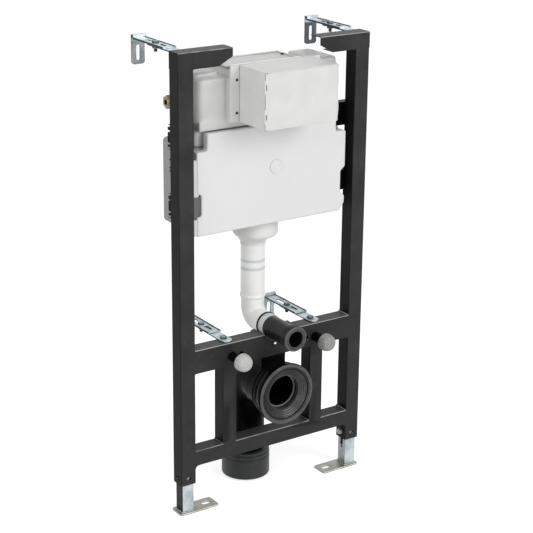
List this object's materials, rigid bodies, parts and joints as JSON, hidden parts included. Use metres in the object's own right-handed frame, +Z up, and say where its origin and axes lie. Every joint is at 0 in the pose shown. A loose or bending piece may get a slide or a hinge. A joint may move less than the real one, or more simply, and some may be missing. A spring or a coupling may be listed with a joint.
{
  "type": "wall hung toilet frame",
  "caption": "Steel frame for a wall hung toilet with concealed cistern, flush pipe, soil bend, wall brackets and telescopic legs.",
  "frame": {"origin": "on the rear face of the upper left wall plate, 12 mm below its top edge", "axes": "+Z up, +Y towards the wall, +X to the right of a person who faces the wall"},
  "size_m": [0.506, 0.303, 1.0825],
  "materials": {
    "black_steel": "satin powder coat",
    "zinc": "zinc plated",
    "black_plastic": "matt",
    "white_plastic": "semi gloss",
    "foam": "matt bead foam",
    "grey_plastic": "satin",
    "grey_rubber": "matt",
    "black_rubber": "matt",
    "brass": "machined",
    "flush_white": "semi gloss"
  },
  "bodies": {
    "frame": {"left_post": "black_steel", "left_arm": "black_steel", "left_mullion": "black_steel", "left_leg_clamp": "zinc", "left_stud": "zinc", "left_stud_sleeve": "black_plastic", "left_stud_cap": "grey_plastic", "left_clips": "black_plastic", "upper_left_strip": "zinc", "upper_left_bracket": "zinc", "upper_left_bolts": "zinc", "lower_left_strip": "zinc", "lower_left_bracket": "zinc", "lower_left_bolts": "zinc", "right_post": "black_steel", "right_arm": "black_steel", "right_mullion": "black_steel", "right_leg_clamp": "zinc", "right_stud": "zinc", "right_stud_sleeve": "black_plastic", "right_stud_cap": "grey_plastic", "right_clips": "black_plastic", "upper_right_strip": "zinc", "upper_right_bracket": "zinc", "upper_right_bolts": "zinc", "lower_right_strip": "zinc", "lower_right_bracket": "zinc", "lower_right_bolts": "zinc", "mid_rail": "black_steel", "lower_rail": "black_steel", "cistern_tank": "white_plastic", "tank_lid": "white_plastic", "tank_jacket": "foam", "insulation_panel": "foam", "access_flange": "white_plastic", "access_box": "white_plastic", "access_cover": "white_plastic", "flange_screws": "black_plastic", "inlet_fitting": "brass", "flush_outlet": "flush_white", "flush_pipe": "flush_white", "pipe_coupling": "grey_plastic", "flush_elbow": "flush_white", "elbow_seal": "black_rubber", "connector_ring": "grey_plastic", "flush_connector": "black_plastic", "connector_saddle": "black_plastic", "saddle_screw": "zinc", "pan_seal": "grey_rubber", "pan_connector": "black_plastic", "soil_bend": "black_plastic", "soil_drop": "black_plastic", "outlet_collar": "black_plastic", "bend_clip": "black_plastic"},
    "left_leg_body": {"left_leg": "zinc", "left_foot_plate": "zinc"},
    "right_leg_body": {"right_leg": "zinc", "right_foot_plate": "zinc"}
  },
  "joints": [
    {"name": "left_leg_slide", "type": "slide", "parent": "frame", "child": "left_leg_body", "axis": [0, 0, 1], "range_m": [-0.125, 0.065]},
    {"name": "right_leg_slide", "type": "slide", "parent": "frame", "child": "right_leg_body", "axis": [0, 0, 1], "range_m": [-0.125, 0.065]}
  ]
}
